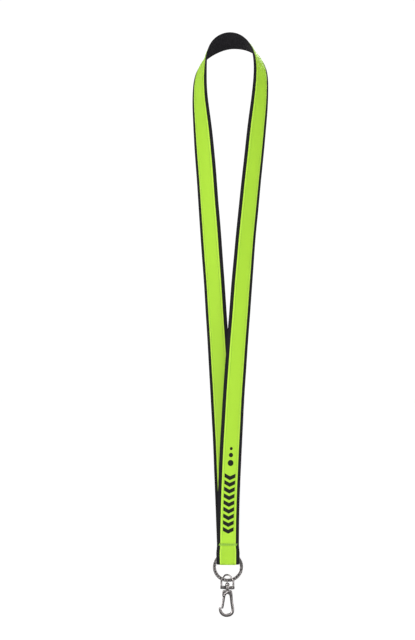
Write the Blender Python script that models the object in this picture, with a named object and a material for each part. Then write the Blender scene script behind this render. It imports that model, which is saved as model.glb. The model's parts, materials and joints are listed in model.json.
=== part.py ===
"""Lanyard badge holder: a twisted webbing neck loop, a split ring and a swivel snap hook.

The origin is the middle of the loop's top, on the webbing's inner face, where the loop rests on
a neck. +Z is up, -Y is the front, which the bright ribbon faces, and +X is to the wearer's left.
"""

import math

import bmesh
import bpy
import numpy as np
from mathutils import Matrix, Vector

MM = 0.001

# Driving dimensions, in millimetres
WEB_WIDTH = 20.0
WEB_THICKNESS = 1.0
RIBBON_WIDTH = 14.0
RIBBON_THICKNESS = 0.4
THREAD_WIDTH = 0.5
THREAD_THICKNESS = 0.3
PLY_GAP = 0.3
STITCH_FROM_MIDDLE = 5.4
LEG_STEP = 12.0
CAP_STEP = 3.0

HOLDER_Y = -47.0
STRAP_END_Z = -434.3
TACK_Z = -432.8
TACK_HEIGHT = 2.1
TACK_REAR_LIFT = 0.7
TACK_FRONT_LIFT = 0.2
TACK_WIDTH = 16.8
TACK_ZIGZAGS = 14
FLEX_Z = -436.0
RING_Z = -451.3

RING_OUTER_R = 12.9
RING_INNER_R = 10.3
RING_WIRE = 1.0
RING_COIL_GAP = 0.2
RING_SECTIONS = 96
RING_START_DEG = -8.0
RING_WOUND_DEG = 708.0
RING_STEP_DEG = 40.0
RING_STEP_LEAD_DEG = 6.0

TAB_TOP_R = 1.3
TAB_FOLD_Z = RING_Z + 0.9
TAB_FOLD_RISE = 0.8
TAB_SHOULDER_Z = RING_Z + 13.3
TAB_CAVITY_TOP_Z = RING_Z + 14.7
TAB_CAVITY_DEPTH = 3.2
TAB_RIBBON_DROP = 1.0
TAB_RIBBON_REACH = 2.4

STIRRUP_WIDTH = 13.2
STIRRUP_WIRE = 1.5
STIRRUP_TWIST = -28.0
STIRRUP_TOP_Z = RING_Z - 6.1
STIRRUP_SHOULDER_Z = RING_Z - 9.9
CROSSBAR_Z = RING_Z - 17.7
CROSSBAR_HEIGHT = 2.7
CROSSBAR_DEPTH = 3.6
CLASP_X = -0.5

POST_R = 1.2
POST_HEAD_R = 1.85
POST_CLEARANCE = 0.12
POST_SEAT = 1.6
HOOK_TOP_Z = RING_Z - 20.0
HOOK_DEPTH = 5.0

GATE_PIVOT = (-3.3, -24.3)
GATE_TIP = (-4.65, -34.7)
GATE_WIDTH = 1.7
GATE_DEPTH = 2.4
GATE_SLOT = 2.9
GATE_SLOT_LEFT = 3.5
GATE_SLOT_RIGHT = 2.5
GATE_SLOT_BELOW = 3.0
GATE_SLOT_ABOVE = 1.75
GATE_KNUCKLE_R = 1.35
PIN_R = 0.55
PIN_CLEARANCE = 0.08
SPRING_WIRE_R = 0.17
SPRING_CLEARANCE = 0.35
SPRING_START_Y = 1.08
SPRING_RISE = 0.2

# The hook's bar from its head down the spine and round the bow to the nose: x and z from the
# ring's centre, then the bar's half width and half depth.
HOOK_BAR = (
    (1.3, -21.3, 1.2, 1.6),
    (2.2, -23.4, 1.35, 1.7),
    (2.85, -27.2, 1.25, 1.5),
    (3.45, -31.8, 1.25, 1.4),
    (4.05, -36.2, 1.3, 1.4),
    (3.1, -39.4, 1.35, 1.45),
    (0.0, -41.2, 1.4, 1.5),
    (-3.6, -40.7, 1.35, 1.5),
    (-6.2, -38.2, 1.2, 1.4),
    (-6.85, -34.6, 0.75, 1.25),
)

# The hook's head, seen from the front: x and z from the ring's centre.
HOOK_HEAD = (
    (2.7, -20.0), (3.4, -21.0), (3.7, -23.4), (3.6, -25.2), (1.5, -25.0), (0.9, -24.0),
    (0.2, -23.3), (-0.5, -23.1), (-1.3, -23.4), (-2.0, -24.4), (-2.6, -25.6), (-3.9, -25.9),
    (-4.8, -25.0), (-5.0, -23.6), (-4.7, -21.2), (-3.7, -20.0),
)

# The strap's middle line: x, y, z in millimetres and the roll in degrees, which is how far the
# ribbon face has turned away from the front. From the tack up the front leg, round the neck and
# down the rear leg. Between the two shoulder stations the strap turns fastest.
SHOULDERS = (7, 15)
STRAP_ROUTE = (
    (0.0, -48.3, STRAP_END_Z, 0.0),
    (0.3, -46.0, -410.0, 9.0),
    (1.6, -42.5, -372.0, 17.0),
    (4.7, -40.0, -312.0, 21.0),
    (8.9, -37.0, -252.0, 25.0),
    (13.6, -33.0, -192.0, 28.0),
    (19.2, -29.0, -132.0, 32.0),
    (25.6, -23.5, -72.0, 38.0),
    (28.4, -18.0, -41.0, 46.0),
    (27.2, -11.5, -19.5, 64.0),
    (17.0, -3.5, -4.0, 108.0),
    (0.8, 0.3, 0.2, 133.0),
    (-13.3, -1.5, -7.0, 115.0),
    (-22.3, -6.5, -23.6, 71.5),
    (-24.1, -10.0, -43.0, 53.0),
    (-22.2, -13.0, -72.0, 38.0),
    (-17.4, -17.0, -132.0, 30.0),
    (-13.0, -21.0, -192.0, 27.0),
    (-9.0, -25.0, -252.0, 25.0),
    (-5.3, -28.5, -312.0, 22.0),
    (-2.3, -32.5, -372.0, 18.0),
    (-0.8, -39.5, -410.0, 9.0),
    (0.0, -45.5, STRAP_END_Z, 0.0),
)

MATERIALS = {
    "black_webbing": ((0.013, 0.012, 0.016), 0.85, 0.0),
    "lime_ribbon": ((0.40, 0.72, 0.04), 0.6, 0.0),
    "lime_thread": ((0.50, 0.78, 0.08), 0.6, 0.0),
    "nickel_plate": ((0.35, 0.36, 0.38), 0.28, 1.0),
    "spring_steel": ((0.50, 0.50, 0.50), 0.35, 1.0),
}


def clear_scene():
    for obj in list(bpy.data.objects):
        bpy.data.objects.remove(obj, do_unlink=True)


def material(name):
    """Return the named Principled material, made on its first use."""
    found = bpy.data.materials.get(name)
    if found:
        return found
    colour, roughness, metallic = MATERIALS[name]
    made = bpy.data.materials.new(name)
    made.use_nodes = True
    shader = made.node_tree.nodes["Principled BSDF"]
    shader.inputs["Base Color"].default_value = (*colour, 1.0)
    shader.inputs["Roughness"].default_value = roughness
    shader.inputs["Metallic"].default_value = metallic
    return made


def add_object(name, bm, finish, pivot=(0.0, 0.0, 0.0), smooth=True):
    """Link a bmesh, drawn in millimetres about its pivot, as an object standing at the pivot."""
    many_sided = [face for face in bm.faces if len(face.verts) > 4]
    bmesh.ops.triangulate(bm, faces=many_sided, ngon_method="EAR_CLIP")
    bmesh.ops.recalc_face_normals(bm, faces=bm.faces)
    bmesh.ops.scale(bm, vec=(MM, MM, MM), verts=bm.verts)
    mesh = bpy.data.meshes.new(name)
    bm.to_mesh(mesh)
    bm.free()
    if smooth:
        mesh.shade_smooth()
        mesh.set_sharp_from_angle(angle=math.radians(35.0))
    mesh.materials.append(material(finish))
    obj = bpy.data.objects.new(name, mesh)
    obj.location = Vector(pivot) * MM
    bpy.context.scene.collection.objects.link(obj)
    return obj


def chord_lengths(stations):
    """Running chord length at each station, starting from zero."""
    points = np.array(stations, dtype=float)[:, :3]
    return np.concatenate([[0.0], np.cumsum(np.linalg.norm(np.diff(points, axis=0), axis=1))])


def cubic_through(stations, at):
    """Natural cubic spline through the stations, read at the given chord lengths."""
    points = np.array(stations, dtype=float)
    knots = chord_lengths(stations)
    chords = np.diff(knots)
    count = len(points)
    system = np.eye(count)
    right = np.zeros_like(points)
    for i in range(1, count - 1):
        system[i, i - 1 : i + 2] = (chords[i - 1], 2 * (chords[i - 1] + chords[i]), chords[i])
        rise = (points[i + 1] - points[i]) / chords[i]
        right[i] = 6 * (rise - (points[i] - points[i - 1]) / chords[i - 1])
    bend = np.linalg.solve(system, right)
    i = np.clip(np.searchsorted(knots, at, side="right") - 1, 0, count - 2)
    before = (at - knots[i])[:, None]
    after = (knots[i + 1] - at)[:, None]
    h = chords[i][:, None]
    cubic = (bend[i] * after**3 + bend[i + 1] * before**3) / (6 * h)
    linear = (points[i] / h - bend[i] * h / 6) * after
    return cubic + linear + (points[i + 1] / h - bend[i + 1] * h / 6) * before


def strap_marks():
    """Chord lengths where the strap is read: coarse steps up the legs, fine ones round the neck."""
    knots = chord_lengths(STRAP_ROUTE)
    rise, fall = knots[SHOULDERS[0]], knots[SHOULDERS[1]]
    front_leg = np.linspace(0.0, rise, int(rise / LEG_STEP), endpoint=False)
    neck = np.linspace(rise, fall, int((fall - rise) / CAP_STEP), endpoint=False)
    rear_leg = np.linspace(fall, knots[-1], int((knots[-1] - fall) / LEG_STEP))
    return np.concatenate([front_leg, neck, rear_leg])


def strap_frames():
    """Middle points of the strap, its ribbon-side normals and its across-directions."""
    at = strap_marks()
    route = cubic_through(STRAP_ROUTE, at)
    middle = route[:, :3]
    along = np.gradient(middle, at, axis=0)
    along /= np.linalg.norm(along, axis=1)[:, None]
    front = np.array([0.0, -1.0, 0.0]) + along[:, 1:2] * along
    front /= np.linalg.norm(front, axis=1)[:, None]
    roll = np.radians(route[:, 3])[:, None]
    normal = np.cos(roll) * front + np.sin(roll) * np.cross(along, front)
    return middle, normal, np.cross(normal, along)


def sweep(sections, closed=False):
    """Skin a row of equal-sized point loops, with filled ends unless the row closes on itself."""
    bm = bmesh.new()
    rings = [[bm.verts.new(point) for point in section] for section in sections]
    pairs = list(zip(rings, rings[1:]))
    if closed:
        pairs.append((rings[-1], rings[0]))
    size = len(rings[0])
    for near, far in pairs:
        for i in range(size):
            j = (i + 1) % size
            bm.faces.new((near[i], near[j], far[j], far[i]))
    if not closed:
        bm.faces.new(rings[0])
        bm.faces.new(reversed(rings[-1]))
    return bm


def strap_layer(name, finish, columns, thickness, lift, trim=0):
    """A flat strip that follows the strap, lifted off its middle line on the ribbon's side.

    The columns are its distances across the strap, so that layers share their creases.
    """
    middle, normal, side = (part[trim : len(part) - trim] for part in strap_frames())
    sections = []
    for centre, up, wide in zip(middle, normal, side):
        under = [centre + up * (lift - thickness / 2) + wide * column for column in columns]
        over = [centre + up * (lift + thickness / 2) + wide * column for column in reversed(columns)]
        sections.append(under + over)
    return add_object(name, sweep(sections), finish, smooth=False)


def build_strap():
    half = WEB_WIDTH / 2
    edge = RIBBON_WIDTH / 2
    inside = [-edge, -edge / 2, 0.0, edge / 2, edge]
    strap_layer("webbing_strap", "black_webbing", [-half] + inside + [half], WEB_THICKNESS, 0.0)
    ribbon_lift = WEB_THICKNESS / 2 + PLY_GAP + RIBBON_THICKNESS / 2
    strap_layer("lime_ribbon", "lime_ribbon", inside, RIBBON_THICKNESS, ribbon_lift)
    thread_lift = ribbon_lift + (RIBBON_THICKNESS + THREAD_THICKNESS) / 2 + PLY_GAP
    rows = (("inner_edge_stitch", STITCH_FROM_MIDDLE), ("outer_edge_stitch", -STITCH_FROM_MIDDLE))
    for name, across in rows:
        row = [across - THREAD_WIDTH / 2, across + THREAD_WIDTH / 2]
        strap_layer(name, "lime_thread", row, THREAD_THICKNESS, thread_lift, trim=1)


def zigzag_bar(name, y, width, zigs):
    """A zigzag row of tack thread: a flat ribbon of thread that turns up and down as it crosses."""
    bm = bmesh.new()
    outline = []
    for lift in (THREAD_WIDTH, -THREAD_WIDTH):
        row = []
        for i in range(zigs + 1):
            x = -width / 2 + width * i / zigs
            swing = (TACK_HEIGHT - THREAD_WIDTH * 2) / 2
            z = swing if i % 2 else -swing
            row.append((x, z + lift))
        outline += row if lift > 0 else row[::-1]
    sides = []
    for depth in (-THREAD_THICKNESS / 2, THREAD_THICKNESS / 2):
        sides.append([bm.verts.new((x, depth, z)) for x, z in outline])
    count = len(outline)
    half = count // 2
    for side in sides:
        for i in range(half - 1):
            bm.faces.new((side[i], side[i + 1], side[count - 2 - i], side[count - 1 - i]))
    near, far = sides
    for i in range(count):
        j = (i + 1) % count
        bm.faces.new((near[i], near[j], far[j], far[i]))
    add_object(name, bm, "lime_thread", (0.0, y, TACK_Z), smooth=False)


def build_tack():
    """The lockstitched tack that holds the strap's ends together: needle thread and bobbin thread."""
    front = STRAP_ROUTE[0][1] - WEB_THICKNESS / 2 - RIBBON_THICKNESS - 2 * PLY_GAP
    front -= THREAD_THICKNESS / 2 + TACK_FRONT_LIFT
    rear = STRAP_ROUTE[-1][1] + WEB_THICKNESS / 2 + PLY_GAP + THREAD_THICKNESS / 2 + TACK_REAR_LIFT
    zigzag_bar("tack_needle_thread", front, TACK_WIDTH, TACK_ZIGZAGS)
    zigzag_bar("tack_bobbin_thread", rear, TACK_WIDTH, TACK_ZIGZAGS)


def tab_profile(offset):
    """Half outline of the folded tab, front side, from its shoulder down to the middle of the fold.

    Given as distances in front of the middle and heights, for the sleeve's wall pushed outwards
    by the offset. The cheeks run down to a flattened fold under the ring's wire.
    """
    cheek = TAB_CAVITY_DEPTH / 2 + offset
    rise = TAB_FOLD_RISE + offset
    fold_centre = TAB_FOLD_Z + WEB_THICKNESS + TAB_FOLD_RISE
    points = [(cheek, TAB_SHOULDER_Z), (cheek, fold_centre)]
    steps = 6
    for i in range(1, steps + 1):
        angle = math.radians(90.0 * i / steps)
        points.append((cheek * math.cos(angle), fold_centre - rise * math.sin(angle)))
    return points


def sleeve(name, loop, hole, width, finish, pivot):
    """A sleeve across the strap, from an outer and an inner (y, z) loop with as many points."""
    bm = bmesh.new()
    sides = []
    for x in (-width / 2, width / 2):
        sides.append([[bm.verts.new((x, y, z)) for y, z in outline] for outline in (loop, hole)])
    count = len(loop)
    for left, right in zip(*sides):
        for i in range(count):
            j = (i + 1) % count
            bm.faces.new((left[i], left[j], right[j], right[i]))
    for outer, inner in sides:
        for i in range(count):
            j = (i + 1) % count
            bm.faces.new((outer[i], outer[j], inner[j], inner[i]))
    add_object(name, bm, finish, pivot)


def build_tab():
    """The strap's end, folded through the ring: a sleeve of webbing with the ribbon outside it."""
    pivot = (0.0, HOLDER_Y, FLEX_Z)

    def mirrored(half):
        shifted = [(-y, z - FLEX_Z) for y, z in half]
        return shifted + [(-y, z) for y, z in reversed(shifted[:-1])]

    top = [(TAB_TOP_R * math.sin(math.radians(a)), FLEX_Z + TAB_TOP_R * math.cos(math.radians(a)))
           for a in (15, 45, 75)]
    outer = mirrored(top + tab_profile(WEB_THICKNESS))
    inner_top = [(0.15, TAB_CAVITY_TOP_Z), (0.6, TAB_CAVITY_TOP_Z - 0.2), (1.1, TAB_CAVITY_TOP_Z - 0.7)]
    inner = mirrored(inner_top + tab_profile(0.0))
    sleeve("tab_webbing", outer, inner, WEB_WIDTH, "black_webbing", pivot)
    lift = WEB_THICKNESS + PLY_GAP
    ribbon_top = FLEX_Z - TAB_RIBBON_DROP
    reach = TAB_RIBBON_REACH
    near = mirrored([(reach, ribbon_top)] + tab_profile(lift))
    far = mirrored([(reach + RIBBON_THICKNESS, ribbon_top)] + tab_profile(lift + RIBBON_THICKNESS))
    edge = RIBBON_WIDTH / 2
    sections = []
    for (y0, z0), (y1, z1) in zip(near, far):
        sections.append([(-edge, y0, z0), (edge, y0, z0), (edge, y1, z1), (-edge, y1, z1)])
    add_object("tab_ribbon", sweep(sections), "lime_ribbon", pivot)


def build_ring():
    """The split ring: flat wire wound two turns, stepping from the front turn to the rear one."""
    depth = (RING_WIRE + RING_COIL_GAP) / 2
    step_from = 360.0 - RING_STEP_DEG - RING_STEP_LEAD_DEG
    sections = []
    for i in range(RING_SECTIONS + 1):
        wound = i / RING_SECTIONS * RING_WOUND_DEG
        blend = min(max((wound - step_from) / RING_STEP_DEG, 0.0), 1.0)
        blend = blend * blend * (3 - 2 * blend)
        y = -depth + 2 * depth * blend
        angle = math.radians(RING_START_DEG - wound)
        radial = Vector((math.cos(angle), 0.0, math.sin(angle)))
        section = []
        for radius, side in ((RING_INNER_R, -1), (RING_OUTER_R, -1), (RING_OUTER_R, 1), (RING_INNER_R, 1)):
            section.append(radial * radius + Vector((0.0, y + side * RING_WIRE / 2, 0.0)))
        sections.append(section)
    add_object("split_ring", sweep(sections), "nickel_plate", (0.0, HOLDER_Y, RING_Z))


def round_path(points, radius, sides=10):
    """A round wire along a smooth line through the points, in its own plane's frame."""
    line = [Vector(p) for p in points]
    sections = []
    for i, point in enumerate(line):
        ahead = (line[min(i + 1, len(line) - 1)] - line[max(i - 1, 0)]).normalized()
        across = Vector((0.0, 1.0, 0.0))
        out = ahead.cross(across).normalized()
        ring = []
        for k in range(sides):
            angle = 2 * math.pi * k / sides
            ring.append(point + (out * math.cos(angle) + across * math.sin(angle)) * radius)
        sections.append(ring)
    return sections


def stirrup_line():
    """Middle line of the stirrup's wire, from one end of the crossbar over the arch to the other."""
    half = (STIRRUP_WIDTH - STIRRUP_WIRE) / 2
    top = STIRRUP_TOP_Z - STIRRUP_WIRE / 2 - RING_Z
    shoulder = STIRRUP_SHOULDER_Z - RING_Z
    foot = CROSSBAR_Z - RING_Z
    right = [(half, foot), (half + 0.05, foot + 2.4), (half, shoulder - 1.9)]
    right += [(half - 0.6, shoulder - 0.6), (half - 1.5, shoulder + 0.2), (half - 2.5, shoulder + 1.3)]
    right += [(half - 3.6, top - 0.75), (1.2, top - 0.1)]
    left = [(-x, z) for x, z in reversed(right)]
    stations = [(x, 0.0, z) for x, z in right + [(0.0, top)] + left]
    length = chord_lengths(stations)[-1]
    return cubic_through(stations, np.linspace(0.0, length, 40))


def build_stirrup():
    """The swivel's stirrup: a bent wire arch through the ring, closed by a drilled crossbar."""
    bm = sweep(round_path(stirrup_line(), STIRRUP_WIRE / 2))
    twist = Matrix.Rotation(math.radians(STIRRUP_TWIST), 4, "Z")
    bmesh.ops.transform(bm, matrix=twist, verts=bm.verts)
    pivot = (CLASP_X, HOLDER_Y, RING_Z)
    stirrup = add_object("swivel_stirrup", bm, "nickel_plate", pivot)
    half_width = STIRRUP_WIDTH / 2
    steps = 12
    loop = []
    for i in range(2 * steps):
        angle = math.radians(90.0 + 180.0 * (i % steps + 0.5) / steps)
        side = 1 if i < steps else -1
        reach = (half_width - CROSSBAR_DEPTH / 2) * side
        loop.append((-math.cos(angle) * side * CROSSBAR_DEPTH / 2 + reach,
                     math.sin(angle) * side * CROSSBAR_DEPTH / 2))
    foot = CROSSBAR_Z - RING_Z
    sections = []
    for z, shrink in ((-0.5, 0.86), (-0.32, 1.0), (0.32, 1.0), (0.5, 0.86)):
        sections.append([(x * shrink, y * shrink, foot + z * CROSSBAR_HEIGHT) for x, y in loop])
    bar = sweep([[Vector(p) for p in section] for section in sections])
    bmesh.ops.transform(bar, matrix=twist, verts=bar.verts)
    cutter_for(stirrup, "UNION", "crossbar_blank", bar, pivot)
    bore = turned([(POST_R + POST_CLEARANCE, 4.0), (POST_R + POST_CLEARANCE, -4.0)], 24)
    cutter_for(stirrup, "DIFFERENCE", "crossbar_bore", bore, (CLASP_X, HOLDER_Y, CROSSBAR_Z))


def turned(profile, steps):
    """A solid of revolution about Z, from (radius, height) points that run from top to bottom."""
    sections = []
    for radius, height in profile:
        ring = []
        for k in range(steps):
            angle = 2 * math.pi * k / steps
            ring.append(Vector((radius * math.cos(angle), radius * math.sin(angle), height)))
        sections.append(ring)
    return sweep(sections)


def build_post():
    """The swivel post: a domed head over the crossbar and a shank seated in the hook's head."""
    top = CROSSBAR_Z + CROSSBAR_HEIGHT / 2 + 0.15
    base = HOOK_TOP_Z - POST_SEAT
    dome = [(POST_HEAD_R * math.sin(math.radians(a)), top + 0.7 + 2.1 * math.cos(math.radians(a)))
            for a in (12, 35, 60, 90)]
    profile = dome + [(POST_HEAD_R, top), (POST_R, top), (POST_R, base)]
    bm = turned([(r, z - CROSSBAR_Z) for r, z in profile], 20)
    add_object("swivel_post", bm, "nickel_plate", (CLASP_X, HOLDER_Y, CROSSBAR_Z))


def cutter_for(target, operation, name, bm, pivot=(0.0, 0.0, 0.0)):
    """Join or cut the target with a hidden helper solid."""
    helper = add_object(name, bm, "nickel_plate", pivot)
    helper.hide_render = True
    helper.display_type = "WIRE"
    step = target.modifiers.new(name, "BOOLEAN")
    step.operation = operation
    step.object = helper


def plate(outline, depth, edge):
    """A plate in the front plane from an (x, z) outline, its front and rear edges eased inwards."""
    middle = np.mean(np.array(outline), axis=0)
    half = depth / 2
    sections = []
    for y, ease in ((-half, edge), (-half + edge, 0.0), (half - edge, 0.0), (half, edge)):
        section = []
        for x, z in outline:
            away = np.array((x, z)) - middle
            shrunk = middle + away * (1 - ease / np.linalg.norm(away))
            section.append(Vector((shrunk[0], y, shrunk[1])))
        sections.append(section)
    return sweep(sections)


def rod_along_y(radius, half_length, steps=20):
    """A round rod through the hook from front to rear."""
    bm = turned([(radius, half_length), (radius, -half_length)], steps)
    bmesh.ops.transform(bm, matrix=Matrix.Rotation(math.radians(90.0), 4, "X"), verts=bm.verts)
    return bm


def box_at(low, high):
    """A box between two corners."""
    sections = []
    for z in (high[2], low[2]):
        sections.append([Vector((x, y, z)) for x, y in
                         ((low[0], low[1]), (high[0], low[1]), (high[0], high[1]), (low[0], high[1]))])
    return sweep(sections)


def build_hook():
    """The hook: a forged bar from a drilled and slotted head, round the bow and up to the nose."""
    stations = [(x, 0.0, z, width, deep) for x, z, width, deep in HOOK_BAR]
    length = chord_lengths(stations)[-1]
    bar = cubic_through(stations, np.linspace(0.0, length, 36))
    along = np.gradient(bar[:, :3], axis=0)
    along /= np.linalg.norm(along, axis=1)[:, None]
    sections = []
    sides = 14
    for (x, y, z, width, deep), ahead in zip(bar, along):
        across = Vector(ahead).cross(Vector((0.0, 1.0, 0.0)))
        ring = []
        for k in range(sides):
            angle = 2 * math.pi * k / sides
            offset = across * math.cos(angle) * width + Vector((0.0, math.sin(angle) * deep, 0.0))
            ring.append(Vector((x, y, z)) + offset)
        sections.append(ring)
    pivot = (0.0, HOLDER_Y, RING_Z)
    hook = add_object("hook_body", plate(HOOK_HEAD, HOOK_DEPTH, 0.7), "nickel_plate", pivot)
    x, z = GATE_PIVOT
    hinge = (x, HOLDER_Y, RING_Z + z)
    cutter_for(hook, "DIFFERENCE", "pin_bore", rod_along_y(PIN_R + PIN_CLEARANCE, 5.0), hinge)
    low = (x - GATE_SLOT_LEFT, -GATE_SLOT / 2, z - GATE_SLOT_BELOW)
    high = (x + GATE_SLOT_RIGHT, GATE_SLOT / 2, z + GATE_SLOT_ABOVE)
    slot = box_at(low, high)
    cutter_for(hook, "DIFFERENCE", "gate_slot", slot, pivot)
    cutter_for(hook, "UNION", "hook_bar", sweep(sections), pivot)
    seat = turned([(POST_R + PIN_CLEARANCE, 1.0), (POST_R + PIN_CLEARANCE, -POST_SEAT - 0.1)], 20)
    cutter_for(hook, "DIFFERENCE", "post_seat", seat, (CLASP_X, HOLDER_Y, HOOK_TOP_Z))


def build_gate():
    """The gate: a flat lever that closes the hook's mouth, with a knuckle on the pin."""
    x, z = GATE_PIVOT
    lean = Vector((GATE_TIP[0] - x, 0.0, GATE_TIP[1] - z))
    side = Vector((0.0, 1.0, 0.0)).cross(lean).normalized() * GATE_WIDTH / 2
    start = lean.normalized() * 0.9
    lever = [(p.x, p.z) for p in (start - side, start + side, lean + side, lean - side)]
    pivot = (x, HOLDER_Y, RING_Z + z)
    gate = add_object("gate_lever", plate(lever, GATE_DEPTH, 0.25), "nickel_plate", pivot)
    cutter_for(gate, "UNION", "gate_knuckle", rod_along_y(GATE_KNUCKLE_R, 0.85), pivot)
    cutter_for(gate, "DIFFERENCE", "gate_bore", rod_along_y(PIN_R + PIN_CLEARANCE, 3.0, 16), pivot)
    head = PIN_R + 0.3
    cheek = HOOK_DEPTH / 2 + 0.05
    profile = [(head * 0.7, cheek + 0.35), (head, cheek + 0.15), (head, cheek), (PIN_R, cheek)]
    profile += [(r, -h) for r, h in reversed(profile)]
    bm = turned(profile, 16)
    bmesh.ops.transform(bm, matrix=Matrix.Rotation(math.radians(90.0), 4, "X"), verts=bm.verts)
    add_object("gate_pin", bm, "nickel_plate", pivot)


def build_spring():
    """The gate's return spring: one turn of wire round the pin, beside the gate's knuckle."""
    x, z = GATE_PIVOT
    line = []
    steps = 26
    coil_r = PIN_R + SPRING_CLEARANCE
    for i in range(steps + 1):
        angle = 2 * math.pi * i / steps
        y = SPRING_START_Y + SPRING_RISE * i / steps
        line.append((coil_r * math.cos(angle), y, coil_r * math.sin(angle)))
    bm = sweep(round_path(line, SPRING_WIRE_R, 6))
    add_object("gate_spring", bm, "spring_steel", (x, HOLDER_Y, RING_Z + z))


def main():
    clear_scene()
    build_strap()
    build_tack()
    build_tab()
    build_ring()
    build_stirrup()
    build_post()
    build_hook()
    build_gate()
    build_spring()


main()
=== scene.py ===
"""Looks of a lanyard badge holder: woven strap, sewn ribbon, split ring and swivel snap hook."""

import json
import math

import bpy
import numpy as np
from bpy.props import FloatProperty, FloatVectorProperty, IntProperty, PointerProperty
from mathutils import Matrix, Vector


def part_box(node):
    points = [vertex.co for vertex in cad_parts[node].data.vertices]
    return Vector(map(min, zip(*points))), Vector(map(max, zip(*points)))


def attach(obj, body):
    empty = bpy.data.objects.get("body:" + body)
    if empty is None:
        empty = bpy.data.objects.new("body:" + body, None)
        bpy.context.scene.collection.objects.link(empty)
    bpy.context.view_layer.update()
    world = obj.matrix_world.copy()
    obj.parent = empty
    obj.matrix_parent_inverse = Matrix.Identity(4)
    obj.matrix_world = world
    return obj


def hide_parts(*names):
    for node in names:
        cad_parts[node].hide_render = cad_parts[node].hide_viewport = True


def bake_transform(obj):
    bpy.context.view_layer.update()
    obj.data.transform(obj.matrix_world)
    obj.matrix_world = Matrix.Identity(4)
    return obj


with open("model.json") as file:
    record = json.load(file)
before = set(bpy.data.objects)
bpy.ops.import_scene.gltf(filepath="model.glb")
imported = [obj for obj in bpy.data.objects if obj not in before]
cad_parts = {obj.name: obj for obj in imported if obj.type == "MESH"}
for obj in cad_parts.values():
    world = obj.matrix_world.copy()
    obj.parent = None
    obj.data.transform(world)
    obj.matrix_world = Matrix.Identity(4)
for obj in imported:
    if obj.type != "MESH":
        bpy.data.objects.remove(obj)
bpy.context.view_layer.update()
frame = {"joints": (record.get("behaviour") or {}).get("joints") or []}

bl_info = {
    "name": "Lanyard badge holder",
    "version": (1, 0, 0),
    "blender": (4, 5, 0),
    "location": "View3D > Sidebar > Lanyard",
    "description": "Builds a neck lanyard with a split ring and a swivel snap hook, piece by piece",
    "category": "Object",
}

MM = 0.001

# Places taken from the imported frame, in millimetres
JOINTS = {joint["name"]: joint for joint in frame["joints"]}
RING_CENTRE = np.array(JOINTS["ring_turn"]["pos_m"]) / MM
CLASP_X = JOINTS["hook_swivel"]["pos_m"][0] / MM
GATE_PIVOT = np.array(JOINTS["gate_open"]["pos_m"]) / MM - RING_CENTRE
HOLDER_Y = RING_CENTRE[1]
STRAP_END_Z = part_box("webbing_strap")[0].z / MM
TACK_Z = (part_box("tack_needle_thread")[0].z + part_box("tack_needle_thread")[1].z) / 2 / MM
RING_OUTER_R = (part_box("split_ring")[1].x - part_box("split_ring")[0].x) / 2 / MM
TAB_BOX = [np.array(corner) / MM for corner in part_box("tab_webbing")]
HOOK_BOX = [np.array(corner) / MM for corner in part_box("hook_body")]

# The strap's middle line: x, y, z in millimetres and the roll in degrees, which is how far the
# ribbon face has turned away from the front. It is the route that the CAD strap follows, from the
# tack up the front leg, round the neck and down the rear leg.
STRAP_ROUTE = (
    (0.0, -48.3, -434.3, 0.0),
    (0.3, -46.0, -410.0, 9.0),
    (1.6, -42.5, -372.0, 17.0),
    (4.7, -40.0, -312.0, 21.0),
    (8.9, -37.0, -252.0, 25.0),
    (13.6, -33.0, -192.0, 28.0),
    (19.2, -29.0, -132.0, 32.0),
    (25.6, -23.5, -72.0, 38.0),
    (28.4, -18.0, -41.0, 46.0),
    (27.2, -11.5, -19.5, 64.0),
    (17.0, -3.5, -4.0, 108.0),
    (0.8, 0.3, 0.2, 133.0),
    (-13.3, -1.5, -7.0, 115.0),
    (-22.3, -6.5, -23.6, 71.5),
    (-24.1, -10.0, -43.0, 53.0),
    (-22.2, -13.0, -72.0, 38.0),
    (-17.4, -17.0, -132.0, 30.0),
    (-13.0, -21.0, -192.0, 27.0),
    (-9.0, -25.0, -252.0, 25.0),
    (-5.3, -28.5, -312.0, 22.0),
    (-2.3, -32.5, -372.0, 18.0),
    (-0.8, -39.5, -410.0, 9.0),
    (0.0, -45.5, -434.3, 0.0),
)


# ---------------------------------------------------------------- properties


def length(name, description, default, **extra):
    """A length setting, shown in millimetres by the sidebar."""
    return FloatProperty(name=name, description=description, default=default, min=0.0,
                         precision=5, unit="LENGTH", subtype="DISTANCE", **extra)


def colour(name, description, default):
    return FloatVectorProperty(name=name, description=description, default=default, size=3,
                               min=0.0, max=1.0, subtype="COLOR")


class StrapSettings(bpy.types.PropertyGroup):
    """Sizes and colours of the webbing, the ribbon and their threads."""

    web_width: length("Webbing width", "Width of the woven webbing", 0.020)
    web_thickness: length("Webbing thickness", "Thickness of one ply of webbing", 0.0011)
    tack_width: length("Width at the tack", "Width where the tack gathers the webbing", 0.0187)
    ribbon_width: length("Ribbon width", "Width of the ribbon sewn on the webbing", 0.0141)
    ribbon_thickness: length("Ribbon thickness", "Thickness of the ribbon", 0.00034)
    stitch_pitch: length("Stitch pitch", "Distance between two edge stitches", 0.0027)
    stitch_radius: length("Edge thread radius", "Radius of the edge stitching thread", 0.00016)
    tack_radius: length("Tack thread radius", "Radius of the tack's thread", 0.00021)
    tack_zigs: IntProperty(name="Tack zigzags", description="Turns of the tack's thread across the strap",
                           default=15, min=4, max=60)
    web_colour: colour("Webbing colour", "Colour of the woven webbing", (0.0072, 0.0066, 0.0082))
    ribbon_colour: colour("Ribbon colour", "Colour of the ribbon", (0.368, 0.645, 0.031))
    thread_colour: colour("Edge thread colour", "Colour of the edge stitching", (0.31, 0.57, 0.04))
    tack_colour: colour("Tack thread colour", "Colour of the tack's thread", (0.30, 0.55, 0.06))
    ink_colour: colour("Print colour", "Colour of the print on the ribbon", (0.0075, 0.009, 0.0065))


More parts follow.
